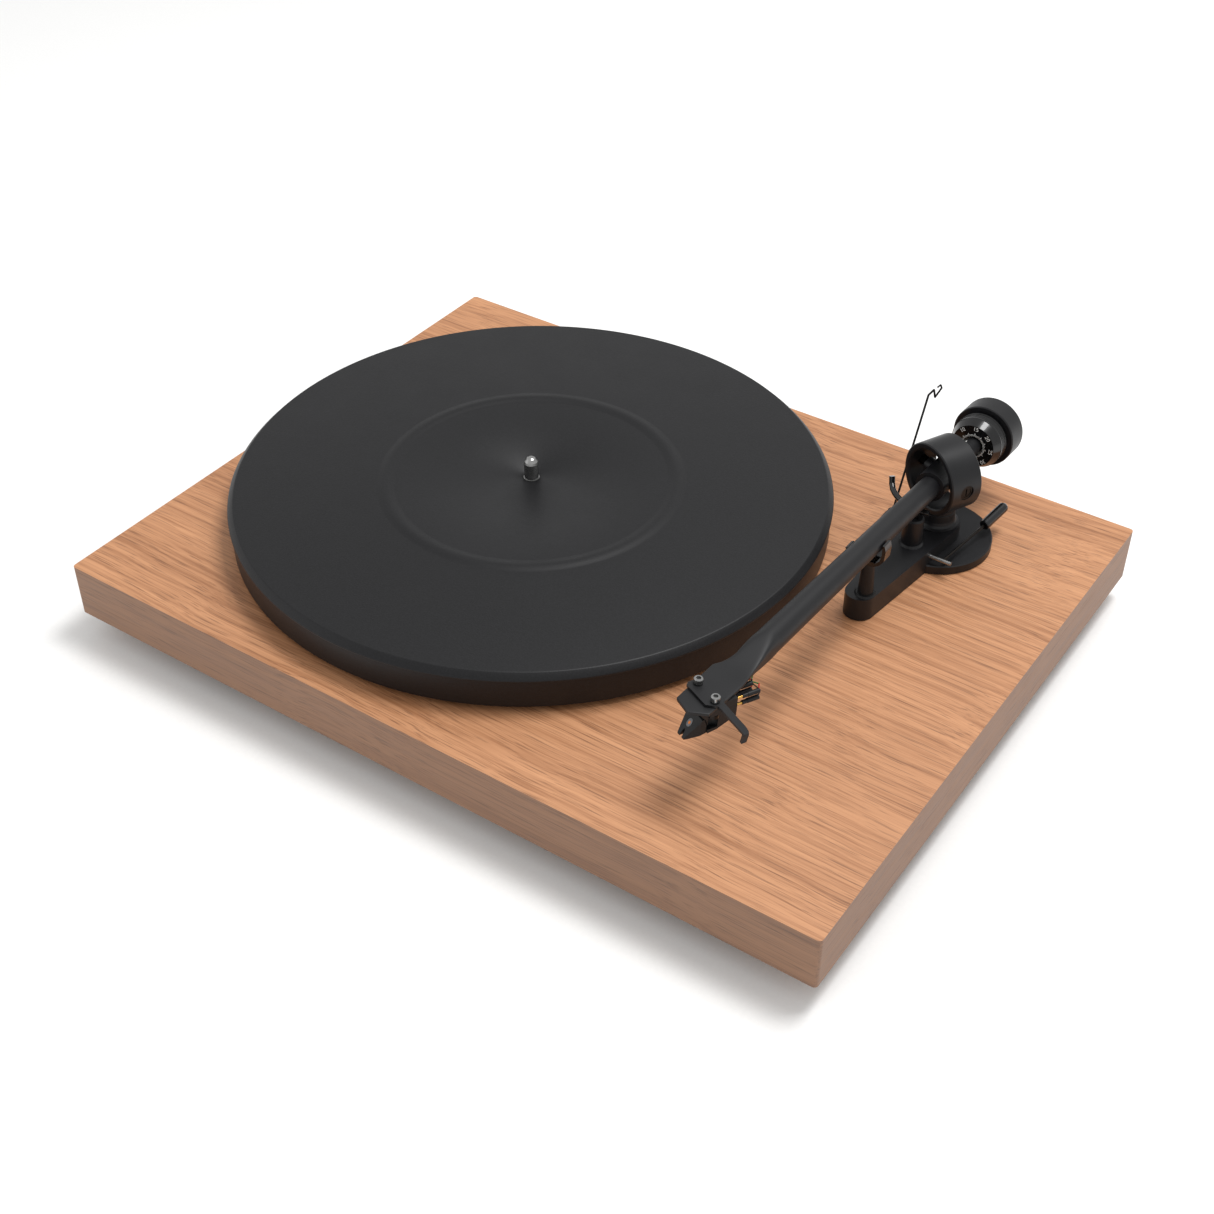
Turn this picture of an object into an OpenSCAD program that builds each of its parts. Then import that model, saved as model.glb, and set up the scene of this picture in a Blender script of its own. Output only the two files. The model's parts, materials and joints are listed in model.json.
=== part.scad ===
// Belt-drive record player: veneered plinth, steel platter on a sub-platter, motor with
// belt and stepped pulley, and a gimballed tonearm with lift, rest and counterweight.
// Millimetres. Origin: on the surface the feet stand on, under the plinth's centre.
// +X is right, +Y is to the back, +Z is up.

/* [Plinth] */
// Width of the plinth, left to right
plinth_w = 415; // [405:1:425]
// Depth of the plinth, front to back
plinth_d = 320; // [316:1:330]
// Thickness of the plinth board
plinth_h = 28; // [28:0.5:32]
// Radius of the four upright corners
corner_r = 2; // [1:0.5:6]

/* [Feet] */
// Height of a foot, floor to plinth
foot_h = 14; // [14:0.5:20]
// Diameter of a foot
foot_d = 36; // [28:1:40]
// Distance of a foot's centre from the plinth's side
foot_side = 48; // [40:1:52]
// Distance of a foot's centre from the plinth's front or back
foot_end = 46; // [40:1:48]

/* [Platter] */
// Diameter of the platter
platter_d = 300; // [290:1:301]
// Height of the platter's top above the plinth
platter_top = 22; // [22:0.5:24]
// Gap between the plinth and the platter's rim
platter_gap = 3; // [2:0.25:4]
// Spindle position, right of the plinth's centre
spindle_x = -49; // [-52:0.5:-47]
// Spindle position, behind the plinth's centre
spindle_y = 2.5; // [0:0.5:4]
// Diameter of the spindle that centres a record
spindle_d = 7.2; // [7:0.05:7.24]

/* [Drive] */
// Diameter of the sub-platter's belt track
track_d = 120; // [110:1:130]
// Diameter of the pulley step for the slower speed
pulley_slow_d = 16; // [12:0.5:17]
// Diameter of the pulley step for the faster speed
pulley_fast_d = 21.6; // [18:0.1:23]
// Distance from the spindle to the motor shaft
motor_reach = 108; // [104:0.5:112]

/* [Tonearm] */
// Tonearm pivot, right of the plinth's centre
pivot_x = 128.5; // [127:0.5:130]
// Tonearm pivot, behind the plinth's centre
pivot_y = 96; // [94:0.5:97]
// Height of the pivot above the plinth
pivot_h = 39.6; // [39.6:0.1:41]
// Swing of the parked tube from straight ahead, degrees inwards
park_yaw = 0.85; // [0:0.05:1]
// Tilt of the parked arm above level, degrees
park_tilt = 3.05; // [2.8:0.05:3.2]
// Angle between the tube and the cartridge, degrees
offset_angle = 24.5; // [24:0.5:27]
// Distance from the pivot to the middle of the cartridge screws
screws_reach = 209.8; // [208:0.2:211]
// Radius of the arm tube where it leaves the gimbal
tube_r0 = 5.3; // [5:0.1:5.4]
// Radius of the arm tube at the headshell
tube_r1 = 6.1; // [5.8:0.1:6.2]
// Outer radius of the gimbal ring
ring_r = 18.3; // [18:0.1:18.3]
// Radius of the counterweight
weight_r = 16; // [15:0.25:16.5]

/* [Hidden] */
$fn = 96;
eps = 0.01;

// Heights
deck = foot_h + plinth_h;
under = foot_h;
spindle_at = [spindle_x, spindle_y];

// Clearances
run_fit = 0.05;
part_gap = 0.3;
near_gap = 0.1;

// Feet
foot_px = plinth_w / 2 - foot_side;
foot_py = plinth_d / 2 - foot_end;
foot_at = [for (sx = [-1, 1], sy = [-1, 1]) [sx * foot_px, sy * foot_py]];
foot_bolt_r = 3;
foot_bolt_head_r = 5;
foot_pad_h = 4;

// Platter and its bearing
platter_r = platter_d / 2;
platter_plate = 6;
platter_seat = deck + platter_top - platter_plate;
shaft_r = 4;
spindle_r = spindle_d / 2;
shoulder_r = spindle_r + 0.4;
housing_r = 9;
housing_flange_r = 22;
housing_bottom = under - 4;
housing_top = deck + 2.6;
bush_r = 6;
ball_r = 1.6;
ball_z = housing_bottom + 4 + ball_r;
track_r = track_d / 2;
spindle_tip = deck + 33.6;

// Drive
motor_bearing = 63;
motor_at = [spindle_x - motor_reach * cos(motor_bearing), spindle_y + motor_reach * sin(motor_bearing)];
motor_can_r = 25;
motor_can_h = 17;
motor_pocket_r = 34;
motor_pocket_top = deck - 6;
motor_shaft_r = 1.5;
pulley_slow_r = pulley_slow_d / 2;
pulley_fast_r = pulley_fast_d / 2;
belt_z = deck + 10.9;
belt_w = 3.6;
belt_t = 0.7;
belt_gap = 0.3;

bearing_screw_turn = [90, 210, 330];
bearing_screw_reach = 15.5;
pilot_r = 1.6;

// Underside pockets
rear = plinth_d / 2;
board_x0 = 12;
board_x1 = 98;
board_y0 = 116;
board_top = under + 20;
plate_y = rear - 10;
plate_t = 1.5;
socket_z = under + 9.5;
phono_x = [44, 60];
phono_r = 4.15;
power_x = 82;
power_bore_r = 2.75;
earth_x = 26;
switch_at = [-120, -plinth_d / 2 + 20];
switch_w = 21;
switch_l = 15;

// Tonearm frame: x to the right, -y along the tube, origin at the pivot
pivot = [pivot_x, pivot_y, deck + pivot_h];
ring_yaw = park_yaw + offset_angle;
ring_inner_r = 15.2;
ring_half = 8.8;
bearing_axis = [-cos(ring_yaw), sin(ring_yaw), 0];
yaw_shaft_r = 3;
collar_r = 7.5;
collar_half = 11;
cross_half = 10.6;
stub_r = 4.2;
stub_end = 66;
base_disc_r = 28.2;
base_disc_h = 5;
beam_h = 12.5;
beam_tip = [124.3, 25.5];
beam_tip_r = 7.4;
beam_hub_r = 11.8;
pillar_top = pivot[2] - ring_r - 0.9;
lift_r = 23.6;
lift_angle = 4.9;
lift_at = [pivot_x - lift_r * sin(lift_angle), pivot_y - lift_r * cos(lift_angle)];
piston_r = 1.75;
bow_rod_r = 1.45;
bow_z = deck + 32.1;
bow_in = 52;
bow_out = -12;
lever_axis = [0, 72, deck + 9];
post_at = [126.6, 25.5];
scale_front = 32.5;
scale_rim = 36.5;
scale_back = 42.6;
scale_face_r = 11;
scale_r = 13.4;
weight_front = 43.8;
weight_back = 56.4;

// Headshell, in the tonearm frame
shell_left = 9.4;
shell_right = 7.7;
shell_z = 1.5;
shell_t = 1.6;
lift_plate_t = 1.2;
screw_pitch = 12.7;
screw_shift = -1.1;
screw_r = 1.25;

// ---------- helpers ----------

module at_spindle(z) {
    translate([spindle_x, spindle_y, z]) children();
}

module at_motor(z) {
    translate([motor_at[0], motor_at[1], z]) children();
}

module ring(r_out, r_in, h) {
    difference() {
        cylinder(r = r_out, h = h);
        translate([0, 0, -1]) cylinder(r = r_in, h = h + 2);
    }
}

// Cylinder whose top and bottom edges are cut back by a small chamfer
module chamfered(r, h, c) {
    rotate_extrude()
        polygon([[0, 0], [r - c, 0], [r, c], [r, h - c], [r - c, h], [0, h]]);
}

// Countersunk or pan-headed screw, head down, standing on z = 0
module screw(shank_r, length, head_r, head_h) {
    difference() {
        union() {
            translate([0, 0, -head_h]) chamfered(head_r, head_h, 0.3);
            translate([0, 0, -eps]) cylinder(r = shank_r, h = length);
        }
        translate([-head_r * 0.6, -0.4, -head_h - eps]) cube([head_r * 1.2, 0.8, head_h * 0.5]);
        translate([-0.4, -head_r * 0.6, -head_h - eps]) cube([0.8, head_r * 1.2, head_h * 0.5]);
    }
}

// Round rod between two points
module rod(a, b, r) {
    d = b - a;
    length = norm(d);
    turn = atan2(d[1], d[0]);
    tip = acos(d[2] / length);
    translate(a) rotate([0, tip, turn]) cylinder(r = r, h = length);
}

// Round wire through a list of points, each stretch a little narrower than the one before
module wire(points, r) {
    for (i = [0:len(points) - 2]) rod(points[i], points[i + 1], r * (1 - 0.05 * i), $fn = 24);
}

// Places children in the tonearm's frame, parked on its rest
module in_arm() {
    translate(pivot) rotate(a = park_tilt, v = bearing_axis) rotate([0, 0, -park_yaw]) children();
}

// Cylinder that lies along the tube, from one reach to another, with two radii
module along_tube(from, to, ra, rb) {
    translate([0, -from, 0]) rotate([90, 0, 0]) cylinder(r1 = ra, r2 = rb, h = to - from);
}

// Revolved profile of [reach behind the pivot, radius] points about the tube's axis
module behind_pivot(profile) {
    rotate([-90, 0, 0]) rotate_extrude() polygon([for (p = profile) [p[1], p[0]]]);
}

// Places children in the cartridge's frame: -y forward, x right, origin between its screws
module in_cartridge() {
    in_arm() translate([screw_shift, -screws_reach, 0]) rotate([0, 0, -offset_angle]) children();
}

// Places children in the gimbal ring's frame: the bearing axis is x, the ring's axis is y
module in_ring() {
    translate(pivot) rotate([0, 0, -ring_yaw]) children();
}

// Outline of two circles joined by their outer tangents
module joined_circles(a, ra, b, rb) {
    d = norm(b - a);
    dir = atan2(b[1] - a[1], b[0] - a[0]);
    lean = acos((ra - rb) / d);
    translate(a) circle(r = ra);
    translate(b) circle(r = rb);
    polygon([for (q = [[a, ra, 1], [a, ra, -1], [b, rb, -1], [b, rb, 1]])
        q[0] + q[1] * [cos(dir + q[2] * lean), sin(dir + q[2] * lean)]]);
}

// ---------- plinth and feet ----------

module board(w, d, h, r) {
    linear_extrude(h) {
        square([w - 2 * r, d], center = true);
        square([w, d - 2 * r], center = true);
        for (sx = [-1, 1], sy = [-1, 1])
            translate([sx * (w / 2 - r), sy * (d / 2 - r)]) circle(r = r);
    }
}

module groove(a, b, w, depth) {
    d = b - a;
    translate([a[0], a[1], under - 1]) rotate([0, 0, atan2(d[1], d[0])])
        translate([0, -w / 2, 0]) cube([norm(d), w, depth + 1]);
}

module plinth() color("peru") difference() {
    translate([0, 0, under]) board(plinth_w, plinth_d, plinth_h, corner_r);
    for (p = foot_at) translate([p[0], p[1], under - 1]) cylinder(r = foot_bolt_r + near_gap, h = 19);
    at_spindle(under - 1) cylinder(r = housing_r + near_gap, h = plinth_h + 2);
    at_motor(under - 1) cylinder(r = motor_pocket_r, h = motor_pocket_top - under + 1);
    at_motor(under) cylinder(r = 7, h = plinth_h + 1);
    translate([pivot_x, pivot_y, under - 1]) cylinder(r = 9, h = plinth_h + 2);
    translate([pivot_x, pivot_y, under - 1]) cylinder(r = 17, h = 13);
    translate([board_x0, board_y0, under - 1])
        cube([board_x1 - board_x0, rear - board_y0 + 1, board_top - under + 1]);
    translate([switch_at[0] - switch_w / 2, switch_at[1] - switch_l / 2, under - 1])
        cube([switch_w, switch_l, 19]);
    groove([switch_at[0] + 6, switch_at[1]], [-72, 45], 8, 8);
    groove([-72, 45], [-86, 70], 8, 8);
    groove([-68, 106], [20, 130], 8, 8);
    groove([pivot_x - 6, pivot_y + 6], [90, 130], 8, 8);
    for (p = motor_cover_holes) at_motor(under - 1)
        translate([p[0], p[1], 0]) cylinder(r = pilot_r, h = 10);
    for (p = board_cover_holes) translate([p[0], p[1], under - 1]) cylinder(r = pilot_r, h = 10);
    for (a = bearing_screw_turn) at_spindle(under - 1) rotate([0, 0, a])
        translate([bearing_screw_reach, 0, 0]) cylinder(r = 1.8, h = 10);
    for (a = ear_angles) at_motor(motor_pocket_top - 1) rotate([0, 0, a])
        translate([ear_reach, 0, 0]) cylinder(r = pilot_r, h = 4.2);
    for (p = board_screw_at) translate([p[0], p[1], board_top - 1]) cylinder(r = pilot_r, h = 5);
}

module foot_cup() {
    difference() {
        rotate_extrude()
            polygon([[0, foot_pad_h], [foot_d / 2 - 4, foot_pad_h], [foot_d / 2 - 1.5, foot_pad_h + 2.5],
                [foot_d / 2, foot_h - 2], [foot_d / 2, foot_h], [0, foot_h]]);
        translate([0, 0, -1]) cylinder(r = foot_bolt_r + near_gap, h = foot_h + 2);
        translate([0, 0, foot_pad_h - 1]) cylinder(r = foot_bolt_head_r + 0.5, h = 5);
    }
}

module foot_cups() color("dimgray")
    for (p = foot_at) translate([p[0], p[1], 0]) foot_cup();

module foot_pads() color("black")
    for (p = foot_at) translate([p[0], p[1], 0]) difference() {
        chamfered(foot_d / 2 - 5, foot_pad_h, 0.8);
        translate([0, 0, 2]) cylinder(r = foot_bolt_head_r + 0.5, h = foot_pad_h);
    }

module foot_bolts() color("silver")
    for (p = foot_at) translate([p[0], p[1], foot_pad_h + 4]) difference() {
        union() {
            translate([0, 0, -4]) chamfered(foot_bolt_head_r, 4, 0.4);
            translate([0, 0, -eps]) cylinder(r = foot_bolt_r, h = foot_h + 8);
        }
        translate([0, 0, -4 - eps]) cylinder(r = 2.5, h = 2, $fn = 6);
    }

// ---------- platter bearing ----------

module bearing_housing() color("goldenrod") difference() {
    union() {
        at_spindle(housing_bottom) cylinder(r = housing_flange_r, h = under - housing_bottom);
        at_spindle(housing_bottom) cylinder(r = housing_r, h = housing_top - housing_bottom);
    }
    at_spindle(housing_bottom + 2) cylinder(r = bush_r, h = plinth_h + foot_h);
    for (a = bearing_screw_turn) at_spindle(housing_bottom - 1) rotate([0, 0, a])
        translate([bearing_screw_reach, 0, 0]) cylinder(r = 1.8, h = 8);
}

module bearing_bush() color("darkgoldenrod")
    at_spindle(housing_bottom + 7) ring(bush_r - run_fit, shaft_r + run_fit, 26);

module thrust_pad() color("white")
    at_spindle(housing_bottom + 2) cylinder(r = bush_r - near_gap, h = 2);

module thrust_ball() color("silver")
    at_spindle(ball_z) sphere(r = ball_r);

module bearing_screws() color("silver")
    for (a = bearing_screw_turn) at_spindle(housing_bottom) rotate([0, 0, a])
        translate([bearing_screw_reach, 0, 0]) screw(1.7, 12, 3.2, 1.8);

// ---------- rotating drive ----------

module sub_platter() color("whitesmoke") difference() {
    at_spindle(0) rotate_extrude() polygon([
        [shaft_r + run_fit, deck + 3.2], [13, deck + 3.2], [13, deck + 11.5], [track_r - 6, deck + 11.5],
        [track_r - 6, deck + 4.5], [track_r, deck + 4.5], [track_r, platter_seat],
        [shaft_r + run_fit, platter_seat]]);
    for (a = [0:60:300]) at_spindle(deck + 10) rotate([0, 0, a])
        translate([33, 0, 0]) cylinder(r = 9, h = 8);
}

module spindle_shaft() color("silver") at_spindle(0) rotate_extrude() polygon([
    [0, ball_z + ball_r + 0.02], [shaft_r - 0.5, ball_z + ball_r + 0.02],
    [shaft_r, ball_z + ball_r + 0.5], [shaft_r, platter_seat],
    [shoulder_r, platter_seat], [shoulder_r, deck + platter_top],
    [spindle_r, deck + platter_top], [spindle_r, spindle_tip - 3.2], [spindle_r - 0.35, spindle_tip - 2.2],
    [spindle_r - 1.5, spindle_tip - 0.5], [spindle_r - 2.3, spindle_tip], [0, spindle_tip]]);

module platter() color("#2b2b2d") at_spindle(deck) rotate_extrude($fn = 180) polygon([
    [shoulder_r + run_fit, platter_top - platter_plate + near_gap], [shoulder_r + run_fit, platter_top - 0.4],
    [shoulder_r + 0.45, platter_top],
    [67.4, platter_top], [69.4, platter_top + 0.75], [70.4, platter_top + 0.9],
    [74.4, platter_top + 0.9], [75.4, platter_top + 0.75], [77.4, platter_top],
    [platter_r - 3.2, platter_top], [platter_r - 2.6, platter_top - 0.25],
    [platter_r - 0.3, platter_top - 2.8], [platter_r, platter_top - 3.4], [platter_r - 0.15, platter_top - 3.9],
    [platter_r - 0.9, platter_top - 4.2], [platter_r - 0.9, platter_gap + 0.8],
    [platter_r - 1.7, platter_gap], [platter_r - 9, platter_gap], [platter_r - 10, platter_gap + 1],
    [platter_r - 10, platter_top - platter_plate - 2],
    [platter_r - 12, platter_top - platter_plate + near_gap]]);

module damping_ring() color("darkslategray")
    at_spindle(deck + 5) ring(platter_r - 10 - run_fit, platter_r - 14, 8.5);

module drive_belt() color("black") {
    inner_track = track_r + belt_gap;
    inner_pulley = pulley_slow_r + belt_gap;
    translate([0, 0, belt_z]) linear_extrude(belt_w) difference() {
        joined_circles(spindle_at, inner_track + belt_t, motor_at, inner_pulley + belt_t);
        joined_circles(spindle_at, inner_track, motor_at, inner_pulley);
    }
}

module motor_pulley() color("lightgray") at_motor(deck) difference() {
    rotate_extrude() polygon([
        [0, 3.2], [pulley_fast_r + 1, 3.2], [pulley_fast_r + 1, 4], [pulley_fast_r, 4.4],
        [pulley_fast_r, 8.6], [pulley_fast_r + 0.6, 9.2], [pulley_fast_r + 0.6, 9.8],
        [pulley_slow_r, 10.4], [pulley_slow_r, 15.2], [pulley_slow_r - 0.5, 15.7], [0, 15.7]]);
    translate([0, 0, 0]) cylinder(r = motor_shaft_r + 0.02, h = 14);
}

module motor_shaft() color("silver")
    at_motor(deck - 22) cylinder(r = motor_shaft_r, h = 35.5);

// ---------- motor ----------

motor_can_z = motor_pocket_top - 3 - motor_can_h;
ear_angles = [30, 150, 270];
ear_reach = 29.5;

module motor_can() color("silver") difference() {
    at_motor(motor_can_z) chamfered(motor_can_r, motor_can_h, 0.8);
    at_motor(deck - 23) cylinder(r = motor_shaft_r + run_fit, h = 30);
}

module motor_bracket() color("gray") difference() {
    at_motor(motor_pocket_top - 3) cylinder(r = 33, h = 1.5);
    at_motor(motor_pocket_top - 4) cylinder(r = 8, h = 4);
    for (a = ear_angles) at_motor(motor_pocket_top - 4) rotate([0, 0, a])
        translate([ear_reach, 0, 0]) cylinder(r = 1.6, h = 4);
}

module motor_grommets() color("black")
    for (a = ear_angles) at_motor(motor_pocket_top - 1.5) rotate([0, 0, a])
        translate([ear_reach, 0, 0]) ring(3.4, 1.6, 1.5);

module motor_screws() color("silver")
    for (a = ear_angles) at_motor(motor_pocket_top - 3) rotate([0, 0, a])
        translate([ear_reach, 0, 0]) screw(1.5, 6, 2.6, 1.4);

module cover_holes(at, positions) {
    for (p = positions) translate([at[0] + p[0], at[1] + p[1], under - 4]) cylinder(r = 1.7, h = 6);
}

motor_cover_r = 41;
motor_cover_holes = [for (a = [45:90:315]) 37.5 * [cos(a), sin(a)]];

module motor_cover() color("black") difference() {
    at_motor(under - 2) cylinder(r = motor_cover_r, h = 2);
    cover_holes(motor_at, motor_cover_holes);
    for (i = [-3:3]) at_motor(under - 3) translate([-18, i * 6 - 1.25, 0]) cube([36, 2.5, 4]);
}

// ---------- electronics and sockets ----------

board_screw_at = [[22, 121], [62, 121]];

module circuit_board() color("darkgreen") {
    difference() {
        translate([17, 118, board_top - 4.1]) cube([50, 24, 1.6]);
        for (p = board_screw_at) translate([p[0], p[1], board_top - 6]) cylinder(r = 1.6, h = 5);
    }
    translate([26, 124, board_top - 9.1]) cube([9, 9, 5]);
    translate([40, 126, board_top - 12.1]) cylinder(r = 4, h = 8);
    translate([47, 125, board_top - 7.1]) cube([11, 8, 3]);
    for (p = board_screw_at) translate([p[0], p[1], board_top - 2.5]) ring(2.8, 1.6, 2.5);
}

module socket_plate() color("dimgray") difference() {
    union() {
        translate([board_x0 + 1, plate_y, under + 0.5])
            cube([board_x1 - board_x0 - 2, plate_t, board_top - under - 1]);
        translate([board_x0 + 1, plate_y - 8, board_top - 2])
            cube([board_x1 - board_x0 - 2, 8 + eps, 1.5]);
    }
    for (x = phono_x) translate([x, plate_y - 1, socket_z]) rotate([-90, 0, 0]) cylinder(r = 3.3, h = 4);
    translate([power_x, plate_y - 1, socket_z]) rotate([-90, 0, 0]) cylinder(r = 5.1, h = 4);
    translate([earth_x, plate_y - 1, socket_z]) rotate([-90, 0, 0]) cylinder(r = 2, h = 4);
}

module phono_sockets() color("gold")
    for (x = phono_x) translate([x, plate_y, socket_z]) rotate([-90, 0, 0]) difference() {
        union() {
            translate([0, 0, -8]) cylinder(r = 3.2, h = 10);
            translate([0, 0, plate_t + eps]) cylinder(r = 5, h = 1, $fn = 6);
            translate([0, 0, plate_t + eps]) cylinder(r = phono_r, h = 8);
        }
        translate([0, 0, plate_t + 1]) cylinder(r = 1.65, h = 8);
    }

module power_socket() color("black")
    translate([power_x, plate_y, socket_z]) rotate([-90, 0, 0]) {
        difference() {
            union() {
                translate([0, 0, -10]) cylinder(r = 5, h = 11.6);
                translate([0, 0, plate_t + eps]) cylinder(r = 6, h = 1.8);
            }
            translate([0, 0, -6]) cylinder(r = power_bore_r, h = 12);
        }
        translate([0, 0, -6 - eps]) cylinder(r = 1, h = 8);
    }

module earth_terminal() color("gold")
    translate([earth_x, plate_y, socket_z]) rotate([-90, 0, 0]) {
        translate([0, 0, -5]) cylinder(r = 1.9, h = 13);
        translate([0, 0, plate_t + 1.5]) ring(4.2, 1.9 + near_gap, 4.5);
    }

cover_x0 = board_x0 - 6;
cover_x1 = board_x1 + 6;
board_cover_holes = [for (x = [cover_x0 + 3, cover_x1 - 3], y = [board_y0 - 3, plate_y - 5]) [x, y]];

module board_cover() color("black") difference() {
    translate([cover_x0, board_y0 - 6, under - 2]) cube([cover_x1 - cover_x0, plate_y - board_y0 + 5, 2]);
    cover_holes([0, 0], board_cover_holes);
    for (i = [0:5]) translate([30 + i * 8, 122, under - 3]) cube([3, 16, 4]);
}

module cover_screws() color("silver") {
    for (p = motor_cover_holes) at_motor(under - 2)
        translate([p[0], p[1], 0]) screw(1.5, 10, 2.8, 1.5);
    for (p = board_cover_holes) translate([p[0], p[1], under - 2]) screw(1.5, 10, 2.8, 1.5);
    for (p = board_screw_at) translate([p[0], p[1], board_top - 4.1]) screw(1.5, 7.5, 2.6, 1.4);
}

module switch_body() color("black") translate([switch_at[0], switch_at[1], 0]) difference() {
    union() {
        translate([-switch_w / 2 + 0.2, -switch_l / 2 + 0.2, under])
            cube([switch_w - 0.4, switch_l - 0.4, 15]);
        translate([-switch_w / 2 - 1.5, -switch_l / 2 - 1.5, under - 1.5])
            cube([switch_w + 3, switch_l + 3, 1.5 + eps]);
    }
    translate([-switch_w / 2 + 2, -switch_l / 2 + 2, under - 2]) cube([switch_w - 4, switch_l - 4, 9]);
}

rocker_pin_z = under + 2;
rocker_half = switch_w / 2 - 2.5;

module switch_rocker() color("black") translate([switch_at[0], switch_at[1], rocker_pin_z])
    rotate([90, 0, 0]) {
        translate([0, 0, -switch_l / 2 + 2.1]) cylinder(r = 1.1, h = switch_l - 4.2);
        translate([0, 0, -switch_l / 2 + 2.4]) linear_extrude(switch_l - 4.8)
        polygon([[-rocker_half, -3.2], [-rocker_half + 0.8, -5.6], [0, -3.4], [rocker_half - 0.8, -3.9],
            [rocker_half, -2.6], [3, 2.4], [-3, 2.4]]);
    }

module lead_wires() {
    lead_z = under + 4;
    color("red") wire([[switch_at[0] + 7.7, switch_at[1] + 6.6, lead_z], [-73.3, 40, lead_z],
        [-87.6, 75.9, lead_z]], 1);
    color("white") wire([[-73.2, 103.4, lead_z], [24, 130.5, lead_z + 1], [27, 131, board_top - 6]], 1);
    color("gray") wire([[pivot_x, pivot_y, deck + 18], [pivot_x, pivot_y, under + 3], [88, 131, lead_z],
        [60, plate_y - 8.2, socket_z]], 1);
}

// ---------- tonearm base, rest and lift ----------

module arm_base() color("#1c1c1e") difference() {
    union() {
        translate([pivot_x, pivot_y, deck]) chamfered(base_disc_r, base_disc_h, 0.5);
        translate([0, 0, deck + 0.4]) linear_extrude(beam_h - 0.4)
            joined_circles(beam_tip, beam_tip_r, [pivot_x, pivot_y], beam_hub_r);
        translate([pivot_x, pivot_y, under + 5]) cylinder(r = 8.8, h = plinth_h - 5 + eps);
        translate([wire_foot[0], wire_foot[1] + 1.2, deck + base_disc_h - eps]) cylinder(r = 2, h = 3);
    }
    translate([pivot_x, pivot_y, deck]) cylinder(r = 7.1, h = 20);
    translate([pivot_x, pivot_y, under]) cylinder(r = 4.5, h = plinth_h + 1);
    translate([lift_at[0], lift_at[1], deck + 4]) cylinder(r = 3.1, h = 10);
    translate([post_at[0], post_at[1], deck + 5]) cylinder(r = 2.1, h = 10);
    translate([pivot_x, lever_axis[1], lever_axis[2]]) rotate([0, 90, 0]) cylinder(r = 1.06, h = 20);
    rod(wire_foot, wire_foot + 0.3 * (wire_bend - wire_foot), 0.6);
}

module arm_base_nut() color("dimgray") difference() {
    translate([pivot_x, pivot_y, under + 7]) cylinder(r = 14, h = 4, $fn = 6);
    translate([pivot_x, pivot_y, under + 6]) cylinder(r = 8.9, h = 6);
}

module arm_pillar() color("#19191b") translate([pivot_x, pivot_y, 0]) rotate_extrude() difference() {
    polygon([[7.05, deck + beam_h], [10.8, deck + beam_h], [10.8, deck + beam_h + 0.6],
        [9.6, deck + beam_h + 1.1], [8.9, deck + beam_h + 2.2], [8.6, deck + beam_h + 3.6],
        [8.6, pillar_top - 0.4], [8.2, pillar_top], [7.05, pillar_top]]);
}

module pillar_bearings() color("silver")
    for (z = [deck + 2, pillar_top - 4]) translate([pivot_x, pivot_y, z])
        ring(7, yaw_shaft_r + run_fit, 3);

module lift_cylinder() color("#161618") translate([lift_at[0], lift_at[1], 0]) difference() {
    union() {
        translate([0, 0, deck + 4.1]) cylinder(r = 3, h = 10);
        translate([0, 0, deck + beam_h]) cylinder(r1 = 6, r2 = 5.2, h = 1.1);
        translate([0, 0, deck + beam_h + 1]) cylinder(r = 5, h = 13.4);
        translate([0, 0, deck + beam_h + 14.4 - eps]) cylinder(r1 = 5, r2 = 4.2, h = 0.8);
    }
    translate([0, 0, deck + 6]) cylinder(r = piston_r + run_fit, h = 30);
}

// Bow that runs round the pivot under the tube and turns up at its inner end
module lift_bow() color("#101011") {
    translate([lift_at[0], lift_at[1], deck + 8]) cylinder(r = piston_r, h = bow_z - deck - 8, $fn = 32);
    translate([pivot_x, pivot_y, bow_z]) {
        rotate([0, 0, 270 - bow_in]) rotate_extrude(angle = bow_in - bow_out)
            translate([lift_r, 0]) circle(r = bow_rod_r, $fn = 32);
        rotate([0, 0, 270 - bow_in]) translate([lift_r, 0, 0]) {
            sphere(r = bow_rod_r * 1.04, $fn = 32);
            rod([0, 0, 0], [0, -2.6, 1.2], bow_rod_r, $fn = 32);
            translate([0, -2.6, 1.2]) sphere(r = bow_rod_r * 1.04, $fn = 32);
            rod([0, -2.6, 1.2], [0, -4.2, 4.6], bow_rod_r, $fn = 32);
        }
    }
}

lever_x = 144;
lever_elbow = [lever_x, lever_axis[1], lever_axis[2]];
sleeve_a = [149.2, 106, deck + 11.2];
sleeve_b = [151.6, 122, deck + 13.4];

module lift_lever() color("silver") {
    translate([134, lever_axis[1], lever_axis[2]]) rotate([0, 90, 0]) cylinder(r = 1, h = 14.5);
    wire([lever_elbow, sleeve_a, sleeve_a + 0.6 * (sleeve_b - sleeve_a)], 0.7);
}

sleeve_span = sleeve_b - sleeve_a;
sleeve_l = norm(sleeve_span);

module lever_sleeve() color("#0b0b0c") translate(sleeve_a)
    rotate([0, acos(sleeve_span[2] / sleeve_l), atan2(sleeve_span[1], sleeve_span[0])])
        rotate_extrude() polygon([[0.72, 0.4], [2.3, 0.4], [2.65, 0.8], [2.65, sleeve_l],
            [2.45, sleeve_l + 1.1], [1.9, sleeve_l + 1.9], [1.1, sleeve_l + 2.4], [0, sleeve_l + 2.6],
            [0, sleeve_l * 0.68], [0.72, sleeve_l * 0.68]]);

post_top = deck + 31;

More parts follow.
